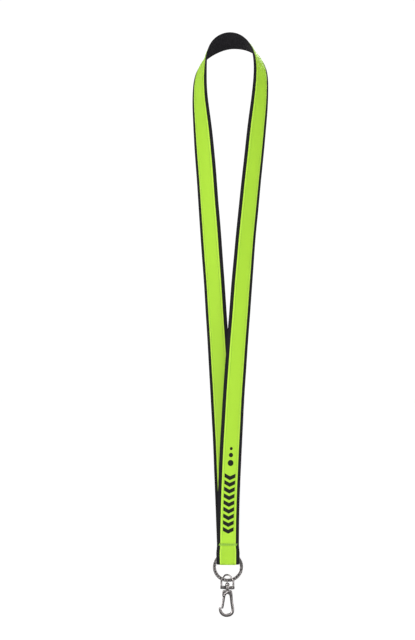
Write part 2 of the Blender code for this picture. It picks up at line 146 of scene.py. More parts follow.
class MetalSettings(bpy.types.PropertyGroup):
    """Sizes and colours of the ring and the clasp."""

    ring_width: length("Ring band width", "Radial width of the ring's flat wire", 0.0028)
    ring_wire: length("Ring wire thickness", "Thickness of one coil of the ring", 0.0010)
    ring_gap: length("Ring coil gap", "Gap between the ring's two coils", 0.0002)
    ring_motifs: IntProperty(name="Ring recesses", description="Recesses pressed into one turn of the ring",
                             default=30, min=0, max=80)
    voxel: length("Casting grid", "Grid spacing for the cast pieces", 0.00012)
    twist: FloatProperty(name="Stirrup turn", description="Turn of the stirrup about the swivel axis",
                         default=math.radians(-28.0), unit="ROTATION", subtype="ANGLE")
    nickel: colour("Nickel colour", "Colour of the plated clasp", (0.30, 0.28, 0.278))
    ring_nickel: colour("Ring colour", "Colour of the plated ring", (0.34, 0.32, 0.315))
    steel: colour("Spring colour", "Colour of the bare spring wire", (0.5, 0.5, 0.5))


class StageSettings(bpy.types.PropertyGroup):
    """The camera, the lights and the floor."""

    camera_distance: length("Camera distance", "Distance of the camera in front of the holder", 3.0)
    view_height: length("View height", "Height that the camera takes in at the holder", 0.5446)
    view_middle_x: FloatProperty(name="View middle across", description="Middle of the view, across",
                                 default=-0.0174, unit="LENGTH", subtype="DISTANCE")
    view_middle_z: FloatProperty(name="View middle up", description="Middle of the view, upwards",
                                 default=-0.2413, unit="LENGTH", subtype="DISTANCE")
    floor_colour: colour("Floor colour", "Colour of the floor", (0.93, 0.93, 0.93))


# ---------------------------------------------------------------- meshes


def new_object(name, points, faces, material, uv=None, **attributes):
    """Link a mesh from points in millimetres and its faces; uv is one pair per point."""
    mesh = bpy.data.meshes.new(name)
    mesh.from_pydata((np.asarray(points) * MM).tolist(), [], np.asarray(faces).tolist()
                     if isinstance(faces, np.ndarray) else faces)
    mesh.update()
    corners = np.zeros(len(mesh.loops), np.int32)
    mesh.loops.foreach_get("vertex_index", corners)
    if uv is not None:
        layer = mesh.uv_layers.new(name="UVMap")
        layer.uv.foreach_set("vector", np.asarray(uv, np.float32)[corners].ravel())
    for key, values in attributes.items():
        layer = mesh.attributes.new(key, "FLOAT", "POINT")
        layer.data.foreach_set("value", np.asarray(values, np.float32).ravel())
    mesh.shade_smooth()
    mesh.materials.append(material)
    obj = bpy.data.objects.new(name, mesh)
    bpy.context.scene.collection.objects.link(obj)
    return obj


def grid_faces(rows, columns, wrap_rows=False, wrap_columns=False, start=0):
    """Quads between neighbouring points of a rows-by-columns grid, as an array of four indices."""
    i = np.arange(rows if wrap_rows else rows - 1)[:, None]
    j = np.arange(columns if wrap_columns else columns - 1)[None, :]
    below = (i + 1) % rows
    right = (j + 1) % columns
    corners = (i * columns + j, i * columns + right, below * columns + right, below * columns + j)
    return start + np.stack([np.broadcast_to(c, (len(i), j.shape[1])) for c in corners], -1).reshape(-1, 4)


def closed_strip(rows, flip=False):
    """Faces of a tube whose rows are closed loops of points: quads, and one n-sided face at each end.

    The rows are (count, size). Flip turns every face over, for rows that run the other way.
    """
    count, size = rows
    faces = grid_faces(count, size, wrap_columns=True).tolist()
    faces.append(list(range(size))[::-1])
    faces.append([(count - 1) * size + k for k in range(size)])
    return [face[::-1] for face in faces] if flip else faces


def band_loop(half_width, half_thickness, columns):
    """Closed outline of a flat band: across and lift of each point, with rounded edges.

    The lift is half_thickness times the square root of one minus the across share to the 14th
    power, above on the way out and below on the way back. Columns crowd towards the edges.
    """
    share = np.sin(np.linspace(-1, 1, columns) * math.pi / 2)
    lift = half_thickness * np.sqrt(np.clip(1 - np.abs(share) ** 14, 0, 1))
    across = np.concatenate([share, share[-2:0:-1]]) * half_width
    return across, np.concatenate([lift, -lift[-2:0:-1]])


# ---------------------------------------------------------------- the strap's line


def natural_spline(stations, at):
    """Natural cubic through the stations (first three columns are a place), read at shares of its chord."""
    points = np.array(stations, float)
    chords = np.linalg.norm(np.diff(points[:, :3], axis=0), axis=1)
    knots = np.concatenate([[0.0], np.cumsum(chords)])
    count = len(points)
    system = np.eye(count)
    right = np.zeros_like(points)
    inner = np.arange(1, count - 1)
    system[inner, inner - 1] = chords[:-1]
    system[inner, inner] = 2 * (chords[:-1] + chords[1:])
    system[inner, inner + 1] = chords[1:]
    slope = np.diff(points, axis=0) / chords[:, None]
    right[1:-1] = 6 * np.diff(slope, axis=0)
    bend = np.linalg.solve(system, right)
    marks = knots[-1] * np.asarray(at, float)
    i = np.clip(np.searchsorted(knots, marks, side="right") - 1, 0, count - 2)
    done = (marks - knots[i])[:, None]
    left = (knots[i + 1] - marks)[:, None]
    h = chords[i][:, None]
    value = (bend[i] * left**3 + bend[i + 1] * done**3) / (6 * h)
    value += (points[i] / h - bend[i] * h / 6) * left
    return value + (points[i + 1] / h - bend[i + 1] * h / 6) * done


def unit(vectors):
    return vectors / np.linalg.norm(vectors, axis=-1, keepdims=True)


class StrapLine:
    """The strip of webbing as one line, from its cut end behind the tack to its end between plies.

    It runs down the rear of the tab, round the fold, up the front of the tab, up the front leg,
    round the neck and down the rear leg. place(along, across, lift) gives points on it.
    """

    BEHIND_TACK = 2.6
    CHEEK = 1.72
    FOLD_RISE = 1.35
    FOLD_LIFT = 1.4
    STRAP_SAMPLES = 1801
    TAB_SAMPLES = 160

    def __init__(self):
        strap = natural_spline(STRAP_ROUTE, np.linspace(0, 1, self.STRAP_SAMPLES))
        body = strap[:, :3]
        ahead = unit(np.gradient(body, axis=0))
        front = unit(np.array([0.0, -1.0, 0.0]) + ahead[:, 1:2] * ahead)
        roll = np.radians(strap[:, 3])[:, None]
        normal = np.cos(roll) * front + np.sin(roll) * np.cross(ahead, front)
        join = self.TAB_SAMPLES
        tab = natural_spline(self.tab_stations(), np.linspace(0, 1, join, endpoint=False))
        tab_ahead = unit(np.gradient(tab, axis=0))
        tab_normal = np.cross(tab_ahead, np.array([-1.0, 0.0, 0.0]))
        self.centre = np.concatenate([tab, body])
        self.normal = unit(self.smooth(np.concatenate([tab_normal, normal]), join - 5, join + 15))
        steps = np.linalg.norm(np.diff(self.centre, axis=0), axis=1)
        self.along = np.concatenate([[0.0], np.cumsum(steps)])
        ahead = unit(np.gradient(self.centre, self.along, axis=0))
        self.side = unit(np.cross(self.normal, ahead))
        self.length = self.along[-1]
        self.tab_end = self.along[join]
        self.tack = self.tab_end + (TACK_Z - STRAP_END_Z)

    def tab_stations(self):
        """Middle of the webbing round the tab: x, y and z from the rear cut end to the front leg."""
        front_y = STRAP_ROUTE[0][1]
        fold_z = TAB_BOX[0][2] + self.FOLD_LIFT + self.FOLD_RISE
        rear = HOLDER_Y + self.CHEEK
        face = HOLDER_Y - self.CHEEK
        top = STRAP_END_Z
        return (
            (0, -43.2, top + 4.2), (0, -43.9, top + 1.6), (0, -44.6, top - 1.5), (0, rear - 0.05, top - 4.6),
            (0, rear, top - 8.5), (0, rear, fold_z + 1.2), (0, rear - 0.75, fold_z - self.FOLD_RISE * 0.72),
            (0, HOLDER_Y, fold_z - self.FOLD_RISE),
            (0, face + 0.75, fold_z - self.FOLD_RISE * 0.72), (0, face, fold_z + 1.2), (0, face, top - 8.5),
            (0, face + 0.05, top - 4.6), (0, (face + front_y) / 2, top - 1.8), (0, front_y, top),
        )

    @staticmethod
    def smooth(values, first, last):
        """Running mean of five over a short stretch, where two lines are joined."""
        out = values.copy()
        for _ in range(3):
            out[first:last] = (out[first - 2 : last - 2] + out[first - 1 : last - 1] + out[first:last]
                               + out[first + 1 : last + 1] + out[first + 2 : last + 2]) / 5
        return out

    def read(self, values, along):
        return np.stack([np.interp(along, self.along, values[:, k]) for k in range(3)], -1)

    def width_share(self, along):
        """Share of the full width: the tack gathers the webbing over the last stretch of the legs."""
        settings = bpy.context.scene.lanyard_strap
        gather = 1 - settings.tack_width / settings.web_width
        reach_front = np.exp(-((along - self.tack) / np.where(along > self.tack, 55.0, 4.5)) ** 2)
        reach_rear = np.exp(-((self.length - along) / 45.0) ** 2)
        reach_cut = np.exp(-((along - self.BEHIND_TACK) / 6.0) ** 2)
        reach_fold = 0.6 * np.exp(-((along - self.tab_end / 2) / 8.0) ** 2)
        reach = np.maximum(np.maximum(reach_front, reach_rear), np.maximum(reach_cut, reach_fold))
        return 1 - gather * reach

    def place(self, along, across, lift):
        """Point at a distance along, across and above the webbing's middle, all in millimetres.

        The strap waves a little, as cloth in use does: its middle rises and falls by up to 0.17 mm
        and its edges by a further 0.26 mm, on sines of unequal length, and it cups by 0.3 mm. In the
        tab it sinks by 0.42 mm where no ring lies under it.
        """
        along, across, lift = np.broadcast_arrays(along, across, lift)
        centre = self.read(self.centre, along)
        normal = unit(self.read(self.normal, along))
        side = unit(self.read(self.side, along))
        free = np.clip((along - self.tack - 12) / 60, 0, 1) * np.clip((self.length - along - 12) / 60, 0, 1)
        share = across / 10.0
        wave = 0.10 * np.sin(along / 17.0) + 0.07 * np.sin(along / 7.3 + 1.0)
        edge = 0.16 * np.sin(along / 23.0 + 0.7) * share + 0.10 * np.sin(along / 11.0) * share * np.abs(share)
        cup = -0.30 * share**2
        rise = lift + free * (wave + edge + cup)
        width = self.width_share(along)
        points = centre + side * (across * width)[..., None]
        reach = np.hypot(points[..., 0] - RING_CENTRE[0], points[..., 2] - RING_CENTRE[2])
        over_ring = 1 / (1 + (np.abs(reach - RING_OUTER_R + 1.3) / 2.5) ** 6)
        in_tab = np.clip((self.tab_end - 1.5 - along) / 2.5, 0, 1) * np.clip((along - 6.0) / 3, 0, 1)
        below = np.clip((points[..., 2] - TAB_BOX[0][2] - 2.5) / 2.0, 0, 1)
        rise = rise - 0.42 * (1 - over_ring) * in_tab * below
        return points + normal * rise[..., None]


def strip(name, line, material, start, stop, step, half_width, thickness, lift, columns):
    """A flat band along the strap's line: the band's outline carried from start to stop."""
    along = np.linspace(start, stop, int((stop - start) / step) + 2)
    across, up = band_loop(half_width, thickness / 2, columns)
    points = line.place(along[:, None], across[None, :], lift + up[None, :])
    uv = np.stack(np.broadcast_arrays(across[None, :] * MM, along[:, None] * MM), -1)
    count, size = points.shape[:2]
    # Painted shade: darker where the tack's thread pulls the ribbon in, and darker over the whole tab below
    # the tack.
    tab_shade = 0.30 / (1 + np.exp((along - line.tack) / 1.5))
    press = (np.exp(-((along - line.tack) / 1.0) ** 2) + tab_shade)[:, None] + 0 * across
    faces = closed_strip((count, size), flip=True)
    return new_object(name, points.reshape(-1, 3), faces, material, uv.reshape(-1, 2), press=press)


# ---------------------------------------------------------------- materials


def group(name, inputs, outputs, build):
    """A shader node group with named sockets, built on its first use."""
    tree = bpy.data.node_groups.get(name)
    if tree:
        return tree
    tree = bpy.data.node_groups.new(name, "ShaderNodeTree")
    for label, kind, value in inputs:
        socket = tree.interface.new_socket(name=label, in_out="INPUT", socket_type=kind)
        if value is not None:
            socket.default_value = value
    for label, kind in outputs:
        tree.interface.new_socket(name=label, in_out="OUTPUT", socket_type=kind)
    build(Nodes(tree), tree.nodes.new("NodeGroupInput"), tree.nodes.new("NodeGroupOutput"))
    return tree


class Nodes:
    """Short calls for adding nodes to one tree."""

    def __init__(self, tree):
        self.tree = tree

    def add(self, kind, **properties):
        """Add a node and set its own properties, not its inputs."""
        node = self.tree.nodes.new(kind)
        for key, value in properties.items():
            setattr(node, key, value)
        return node

    def link(self, source, target):
        self.tree.links.new(source, target)

    def feed(self, socket, value):
        """Set the socket to a plain value, or link an output to it."""
        if isinstance(value, (int, float, tuple)):
            socket.default_value = value
        else:
            self.link(value, socket)

    def math(self, operation, a, b=None, c=None, clamp=False):
        node = self.tree.nodes.new("ShaderNodeMath")
        node.operation = operation
        node.use_clamp = clamp
        for socket, value in zip(node.inputs, (a, b, c)):
            if value is not None:
                self.feed(socket, value)
        return node.outputs[0]

    def mix(self, share, a, b):
        node = self.tree.nodes.new("ShaderNodeMix")
        node.data_type = "RGBA"
        for socket, value in zip((node.inputs[0], node.inputs[6], node.inputs[7]), (share, a, b)):
            self.feed(socket, value)
        return node.outputs[2]

    def noise(self, vector, scale, detail=3.0, rough=0.5):
        node = self.tree.nodes.new("ShaderNodeTexNoise")
        node.inputs["Scale"].default_value = scale
        node.inputs["Detail"].default_value = detail
        node.inputs["Roughness"].default_value = rough
        self.link(vector, node.inputs["Vector"])
        return node.outputs["Fac"]


def build_weave(nodes, given, result):
    """Woven cloth from a UV in metres: lengthwise yarn columns crossed by weft bars.

    Height is the product of two rounded combs, across the strap and along it, and the one along it
    shifts by half a bar on every other column. Gap is what the height leaves of one.
    """
    split = nodes.add("ShaderNodeSeparateXYZ")
    nodes.link(given.outputs["UV"], split.inputs[0])
    across = nodes.math("DIVIDE", split.outputs["X"], given.outputs["Warp spacing"])
    along = nodes.math("DIVIDE", split.outputs["Y"], given.outputs["Weft spacing"])
    column = nodes.math("FLOOR", across)
    odd = nodes.math("ABSOLUTE", nodes.math("MODULO", column, 2.0))
    shifted = nodes.math("ADD", along, nodes.math("MULTIPLY", odd, 0.5))
    warp_round = nodes.math("ABSOLUTE", nodes.math("SINE", nodes.math("MULTIPLY", across, math.pi)))
    float_round = nodes.math("ABSOLUTE", nodes.math("SINE", nodes.math("MULTIPLY", shifted, math.pi)))
    warp_comb = nodes.math("POWER", warp_round, 0.5)
    float_comb = nodes.math("POWER", float_round, 0.45)
    height = nodes.math("MULTIPLY", warp_comb, float_comb)
    nodes.link(height, result.inputs["Height"])
    nodes.link(nodes.math("SUBTRACT", 1.0, height), result.inputs["Gap"])


def weave_group():
    return group("Woven yarn", (
        ("UV", "NodeSocketVector", None), ("Warp spacing", "NodeSocketFloat", 0.0005),
        ("Weft spacing", "NodeSocketFloat", 0.0008),
    ), (("Height", "NodeSocketFloat"), ("Gap", "NodeSocketFloat")), build_weave)


def build_handling(nodes, given, result):
    """Slow cloudy variation and fine speckle from Object coordinates, each from zero to one."""
    slow = nodes.noise(given.outputs["Position"], 55.0, 3.0)
    fine = nodes.noise(given.outputs["Position"], 1600.0, 2.0, 0.6)
    nodes.link(slow, result.inputs["Cloud"])
    nodes.link(fine, result.inputs["Speckle"])


def handling_group():
    return group("Handling", (("Position", "NodeSocketVector", None),),
                 (("Cloud", "NodeSocketFloat"), ("Speckle", "NodeSocketFloat")), build_handling)


class Material:
    """A Principled material with its coordinates and the handling group ready to wire."""

    def __init__(self, name, roughness, metallic=0.0, **constants):
        self.data = bpy.data.materials.new(name)
        self.data.use_nodes = True
        self.nodes = Nodes(self.data.node_tree)
        self.shader = self.data.node_tree.nodes["Principled BSDF"]
        self.shader.inputs["Roughness"].default_value = roughness
        self.shader.inputs["Metallic"].default_value = metallic
        for key, value in constants.items():
            self.shader.inputs[key.replace("_", " ")].default_value = value
        self.coordinates = self.data.node_tree.nodes.new("ShaderNodeTexCoord")
        self.handling = self.place(handling_group())
        self.nodes.link(self.coordinates.outputs["Object"], self.handling.inputs["Position"])

    def place(self, tree):
        node = self.data.node_tree.nodes.new("ShaderNodeGroup")
        node.node_tree = tree
        return node

    def to(self, socket, value):
        self.nodes.link(value, self.shader.inputs[socket])

    def bump(self, height, strength, distance):
        node = self.data.node_tree.nodes.new("ShaderNodeBump")
        node.inputs["Strength"].default_value = strength
        node.inputs["Distance"].default_value = distance
        self.nodes.link(height, node.inputs["Height"])
        self.to("Normal", node.outputs["Normal"])

    def weave(self, warp, weft):
        node = self.place(weave_group())
        node.inputs["Warp spacing"].default_value = warp
        node.inputs["Weft spacing"].default_value = weft
        self.nodes.link(self.coordinates.outputs["UV"], node.inputs["UV"])
        return node


def scaled(rgb, factor):
    return tuple(min(1.0, channel * factor) for channel in rgb) + (1.0,)


def webbing_material():
    """Matt black polyester: coarse ribs along the strap, painted paler where they stand up as a highlight and
    darker in the gaps as shade, with paler cloudy patches at random.
    """
    made = Material("black_webbing", 0.72, Specular_IOR_Level=0.14, Sheen_Weight=0.02)
    rgb = bpy.context.scene.lanyard_strap.web_colour
    weave = made.weave(0.00062, 0.00125)
    nodes = made.nodes
    # Painted light: the weave's gaps take a darker colour as painted shade and the raised yarn a paler one as
    # painted highlight.
    shade = nodes.mix(weave.outputs["Gap"], scaled(rgb, 2.1), scaled(rgb, 0.35))
    lift = nodes.math("MULTIPLY", made.handling.outputs["Cloud"], 0.35)
    made.to("Base Color", nodes.mix(lift, shade, scaled(rgb, 2.1)))
    rough = nodes.math("MULTIPLY_ADD", made.handling.outputs["Speckle"], 0.22, 0.70)
    made.to("Roughness", rough)
    made.bump(weave.outputs["Height"], 0.75, 0.00022)
    return made.data


def ribbon_material():
    """Lime satin ribbon: fine cross ribs with painted shade in their gaps, a paler edge as a painted
    highlight, painted shade at the tack and over the tab, and slow unevenness of the dye.
    """
    made = Material("lime_ribbon", 0.55, Specular_IOR_Level=0.25, Sheen_Weight=0.03)
    rgb = bpy.context.scene.lanyard_strap.ribbon_colour
    weave = made.weave(0.00030, 0.00042)
    nodes = made.nodes
    split = nodes.add("ShaderNodeSeparateXYZ")
    nodes.link(made.coordinates.outputs["UV"], split.inputs[0])
    # Painted highlight: outside each edge stitch the ribbon turns paler, as light on its rounded edge.
    edge = nodes.math("SUBTRACT", nodes.math("ABSOLUTE", split.outputs["X"]), 0.0056)
    edge = nodes.math("MULTIPLY", edge, 2500.0, clamp=True)
    # Painted shade: the gaps between the ribs are darker.
    base = nodes.mix(nodes.math("MULTIPLY", weave.outputs["Gap"], 0.55), scaled(rgb, 1.06), scaled(rgb, 0.74))
    cloud = nodes.math("MULTIPLY", made.handling.outputs["Cloud"], 0.22)
    base = nodes.mix(cloud, base, scaled(rgb, 0.80))
    # Painted shade at the tack and over the tab darkens the ribbon's colour.
    press = nodes.add("ShaderNodeAttribute", attribute_name="press")
    base = nodes.mix(nodes.math("MULTIPLY", press.outputs["Fac"], 0.62), base, scaled(rgb, 0.45))
    pale = (min(1.0, rgb[0] * 1.22), min(1.0, rgb[1] * 1.12), rgb[2] * 1.9, 1.0)
    made.to("Base Color", nodes.mix(nodes.math("MULTIPLY", edge, 0.8), base, pale))
    made.to("Roughness", nodes.math("MULTIPLY_ADD", made.handling.outputs["Speckle"], 0.18, 0.48))
    made.bump(weave.outputs["Height"], 0.6, 0.00009)
    return made.data


def thread_material(name, rgb):
    """Twisted sewing thread: slanted ply marks along each stitch, painted darker and paler in turn as shade
    and highlight of the twist.
    """
    made = Material(name, 0.55, Specular_IOR_Level=0.3, Sheen_Weight=0.05)
    nodes = made.nodes
    split = nodes.add("ShaderNodeSeparateXYZ")
    nodes.link(made.coordinates.outputs["UV"], split.inputs[0])
    around = nodes.math("MULTIPLY", split.outputs["X"], 6.283)
    turn = nodes.math("MULTIPLY_ADD", split.outputs["Y"], 9000.0, around)
    ply = nodes.math("MULTIPLY_ADD", nodes.math("SINE", turn), 0.5, 0.5)
    # Painted light: along the twist each ply is darker as painted shade and paler as painted highlight.
    made.to("Base Color", nodes.mix(ply, scaled(rgb, 0.72), scaled(rgb, 1.12)))
    made.to("Roughness", nodes.math("MULTIPLY_ADD", made.handling.outputs["Speckle"], 0.2, 0.45))
    made.bump(ply, 0.5, 0.00005)
    return made.data


def ink_material():
    """Screen-printed black ink: nearly flat, letting the ribbon's ribs show through."""
    made = Material("printed_ink", 0.5, Specular_IOR_Level=0.12)
    rgb = bpy.context.scene.lanyard_strap.ink_colour
    weave = made.weave(0.00030, 0.00042)
    nodes = made.nodes
    worn = nodes.math("MULTIPLY", made.handling.outputs["Speckle"], 0.5)
    made.to("Base Color", nodes.mix(worn, scaled(rgb, 1.0), scaled(rgb, 2.4)))
    made.to("Roughness", nodes.math("MULTIPLY_ADD", made.handling.outputs["Cloud"], 0.25, 0.38))
    made.bump(weave.outputs["Height"], 0.4, 0.00006)
    return made.data


def metal_material(name, rgb, roughness, recess=False):
    """Nickel plate: cloudy polish, fine scratches in the bump, and painted shade that darkens any recess."""
    made = Material(name, roughness, 1.0)
    nodes = made.nodes
    cloud = made.handling.outputs["Cloud"]
    base = nodes.mix(cloud, scaled(rgb, 0.82), scaled(rgb, 1.18))
    rough = nodes.math("MULTIPLY_ADD", made.handling.outputs["Speckle"], 0.12, roughness - 0.05)
    if recess:
        # Painted shade: each recess takes a darker colour.
        depth = nodes.add("ShaderNodeAttribute", attribute_name="recess")
        base = nodes.mix(depth.outputs["Fac"], base, scaled(rgb, 0.16))
        rough = nodes.math("ADD", rough, nodes.math("MULTIPLY", depth.outputs["Fac"], 0.25))
    made.to("Base Color", base)
    made.to("Roughness", rough)
    scratch = nodes.noise(made.coordinates.outputs["Object"], 900.0, 4.0, 0.7)
    made.bump(scratch, 0.12, 0.00004)
    return made.data


# ---------------------------------------------------------------- cloth pieces

_made = {}


def strap_line():
    if "line" not in _made:
        _made["line"] = StrapLine()
    return _made["line"]


def cloth_lift(settings):
    """Height of the ribbon's middle above the webbing's middle, in millimetres."""
    return (settings.web_thickness + settings.ribbon_thickness) / 2 / MM - 0.02


def across_joint(obj):
    """Bake the piece's placement into its mesh."""
    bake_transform(obj)


class LANYARD_OT_webbing(bpy.types.Operator):
    """Weave the strap: one strip of webbing with its end folded through the ring"""

    bl_idname = "lanyard.webbing"
    bl_label = "Webbing"

    def execute(self, context):
        settings = context.scene.lanyard_strap
        line = strap_line()
        obj = strip("webbing", line, webbing_material(), 0.0, line.length - 0.3, 0.9,
                    settings.web_width / 2 / MM, settings.web_thickness / MM, 0.0, 17)
        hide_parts("webbing_strap", "tab_webbing")
        across_joint(obj)
        return {"FINISHED"}


class LANYARD_OT_ribbon(bpy.types.Operator):
    """Lay the ribbon along the webbing's outer face"""

    bl_idname = "lanyard.ribbon"
    bl_label = "Ribbon"

    def execute(self, context):
        settings = context.scene.lanyard_strap
        line = strap_line()
        start, stop = 0.6, line.length - 0.8
        obj = strip("ribbon", line, ribbon_material(), start, stop, 0.9, settings.ribbon_width / 2 / MM,
                    settings.ribbon_thickness / MM, cloth_lift(settings), 15)
        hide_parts("lime_ribbon", "tab_ribbon")
        across_joint(obj)
        return {"FINISHED"}


def print_shapes():
    """Outlines of the print, each a grid of (along, across) shares mapped to a plain shape.

    Chevrons point down the strap in a row, then three discs that grow smaller. A chevron's point
    at shares (a, b) lies at half its length times a plus its slope times the size of b; a disc
    squeezes the square of shares into a circle.
    """
    share = np.linspace(-1, 1, 25)
    a, b = np.meshgrid(share, share, indexing="ij")
    shapes = []
    for k in range(9):
        middle = 12.0 + 5.7 * k
        shapes.append((middle + 1.7 * a + 2.4 * np.abs(b) - 1.1, 4.9 * b))
    for middle, radius in ((69.5, 2.6), (76.3, 1.9), (81.8, 1.3)):
        shapes.append((middle + radius * a * np.sqrt(1 - b * b / 2), radius * b * np.sqrt(1 - a * a / 2)))
    return shapes


class LANYARD_OT_print(bpy.types.Operator):
    """Print the plain pattern on the ribbon, above the tack on the front leg"""

    bl_idname = "lanyard.print"
    bl_label = "Print"

    def execute(self, context):
        settings = context.scene.lanyard_strap
        line = strap_line()
        top = cloth_lift(settings) + settings.ribbon_thickness / 2 / MM
        points, faces, uv = [], [], []
        for along, across in print_shapes():
            along = along + line.tack
            rows, columns = along.shape
            first = sum(len(block) for block in points)
            for lift in (top + 0.035, top - 0.06):
                points.append(line.place(along, across, lift).reshape(-1, 3))
                uv.append(np.stack([across, along], -1).reshape(-1, 2) * MM)
            size = rows * columns
            upper = grid_faces(rows, columns, start=first)[:, ::-1]
            lower = grid_faces(rows, columns, start=first + size)
            index = np.arange(size).reshape(rows, columns)
            rim = np.concatenate([index[0, :-1], index[:-1, -1], index[-1, :0:-1], index[:0:-1, 0]])
            ahead = np.roll(rim, -1)
            walls = first + np.stack([rim, ahead, ahead + size, rim + size], -1)
            faces += upper.tolist() + lower.tolist() + walls.tolist()
        obj = new_object("ribbon_print", np.concatenate(points), faces, ink_material(), np.concatenate(uv))
        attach(obj, "strap")
        return {"FINISHED"}


def thread_tubes(name, line, starts, across, reach, radius, lifts, material):
    """Many short stitches as one mesh: each is a bowed capsule lying along the strap.

    At share t of its length, from -1 to 1, a stitch stands lifts[1] times (1 - t squared) above
    lifts[0], and its radius is the thread's times the fourth root of one minus t to the sixth.
    """
    stations, sides = 7, 6
    size = stations * sides
    t = np.linspace(-1, 1, stations)
    turn = np.linspace(0, 2 * math.pi, sides, endpoint=False)
    swell = radius * np.clip(1 - np.abs(t) ** 6, 0.04, 1) ** 0.25
    along = starts[:, None, None] + reach * t[None, :, None] + 0 * turn
    rise = lifts[0] + lifts[1] * (1 - t**2)[None, :, None] + swell[None, :, None] * np.sin(turn)
    wide = across + swell[None, :, None] * np.cos(turn) + 0 * along
    points = line.place(along, wide, rise + 0 * along)
    firsts = np.arange(len(starts)) * size
    one = grid_faces(stations, sides, wrap_columns=True)
    faces = (one[None] + firsts[:, None, None]).reshape(-1, 4).tolist()
    ring = np.arange(sides)
    for first in firsts:
        faces.append((first + ring[::-1]).tolist())
        faces.append((first + size - sides + ring).tolist())
    uv = np.stack([0 * along + turn / (2 * math.pi), along * MM], -1)
    return new_object(name, points.reshape(-1, 3), faces, material, uv.reshape(-1, 2))


class LANYARD_OT_edge_stitches(bpy.types.Operator):
    """Sew the two rows of stitches that hold the ribbon's edges"""

    bl_idname = "lanyard.edge_stitches"
    bl_label = "Edge stitches"

    def execute(self, context):
        settings = context.scene.lanyard_strap
        line = strap_line()
        material = thread_material("edge_thread", settings.thread_colour)
        pitch = settings.stitch_pitch / MM
        top = cloth_lift(settings) + settings.ribbon_thickness / 2 / MM
        starts = np.arange(2.5, line.length - 3.0, pitch)
        starts = starts[np.abs(starts - line.tack) > 2.4]
        radius = settings.stitch_radius / MM
        for side, node in ((5.45, "inner_edge_stitch"), (-5.45, "outer_edge_stitch")):
            obj = thread_tubes("thread_" + node, line, starts, side, pitch * 0.43, radius,
                               (top + 0.01, 0.13), material)
            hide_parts(node)
            across_joint(obj)
        return {"FINISHED"}


def zigzag_thread(name, line, zigs, half_width, half_height, rise, radius, at, material):
    """The tack's thread: a tube whose middle zigzags across the strap and follows its surface.

    Across goes evenly from edge to edge; along is a rounded triangle wave of the zigzag's height;
    the lift steps down where the thread leaves the ribbon for the bare webbing.
    """
    share = np.linspace(-1, 1, zigs * 16 + 1)
    phase = (share + 1) / 2 * zigs
    wave = np.arcsin(0.96 * np.sin(phase * 2 * math.pi)) / math.asin(0.96)
    across = half_width * share
    along = at + half_height * wave
    lift = rise(across)
    turn = np.linspace(0, 2 * math.pi, 8, endpoint=False)
    centre = line.place(along, across, lift)
    ahead = unit(np.gradient(centre, axis=0))
    out = unit(line.place(along, across, lift + 1.0) - centre)
    beside = unit(np.cross(ahead, out))
    out = np.cross(beside, ahead)
    swell = radius * np.clip(1 - np.abs(share) ** 60, 0.05, 1)[:, None, None]
    tube = centre[:, None] + swell * (np.cos(turn)[None, :, None] * beside[:, None]
                                      + np.sin(turn)[None, :, None] * out[:, None])
    path = np.concatenate([[0], np.cumsum(np.linalg.norm(np.diff(centre, axis=0), axis=1))])
    uv = np.stack(np.broadcast_arrays(turn[None, :] / (2 * math.pi), path[:, None] * MM), -1)
    count, size = tube.shape[:2]
    faces = closed_strip((count, size), flip=True)
    return new_object(name, tube.reshape(-1, 3), faces, material, uv.reshape(-1, 2))


class LANYARD_OT_tack(bpy.types.Operator):
    """Sew the zigzag tack that closes the tab, with its needle thread and its bobbin thread"""

    bl_idname = "lanyard.tack"
    bl_label = "Tack"

    def execute(self, context):
        settings = context.scene.lanyard_strap
        line = strap_line()
        bare = settings.web_thickness / 2 / MM
        step = settings.ribbon_thickness / MM
        radius = settings.tack_radius / MM
        edge = settings.ribbon_width / 2 / MM

        def front(across):
            return bare + radius * 0.4 + step / (1 + np.exp((np.abs(across) - edge - 0.2) * 6))

        half = settings.tack_width / 2 / MM - 0.9
        twist = thread_material("tack_thread", settings.tack_colour)
        rows = (("thread_tack_needle", line.tack, "tack_needle_thread"),
                ("thread_tack_bobbin", line.BEHIND_TACK, "tack_bobbin_thread"))
        for name, at, node in rows:
            obj = zigzag_thread(name, line, settings.tack_zigs, half, 0.95, front, radius, at, twist)
            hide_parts(node)
            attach(obj, "strap")
        return {"FINISHED"}


# ---------------------------------------------------------------- metal pieces

# The split ring's winding, in degrees: where it starts, how far it goes, and where it steps back
# from the front coil to the rear one
RING_START = -8.0
RING_WOUND = 708.0
RING_STEP_FROM = 314.0
RING_STEP = 40.0
RING_SECTIONS = 1500


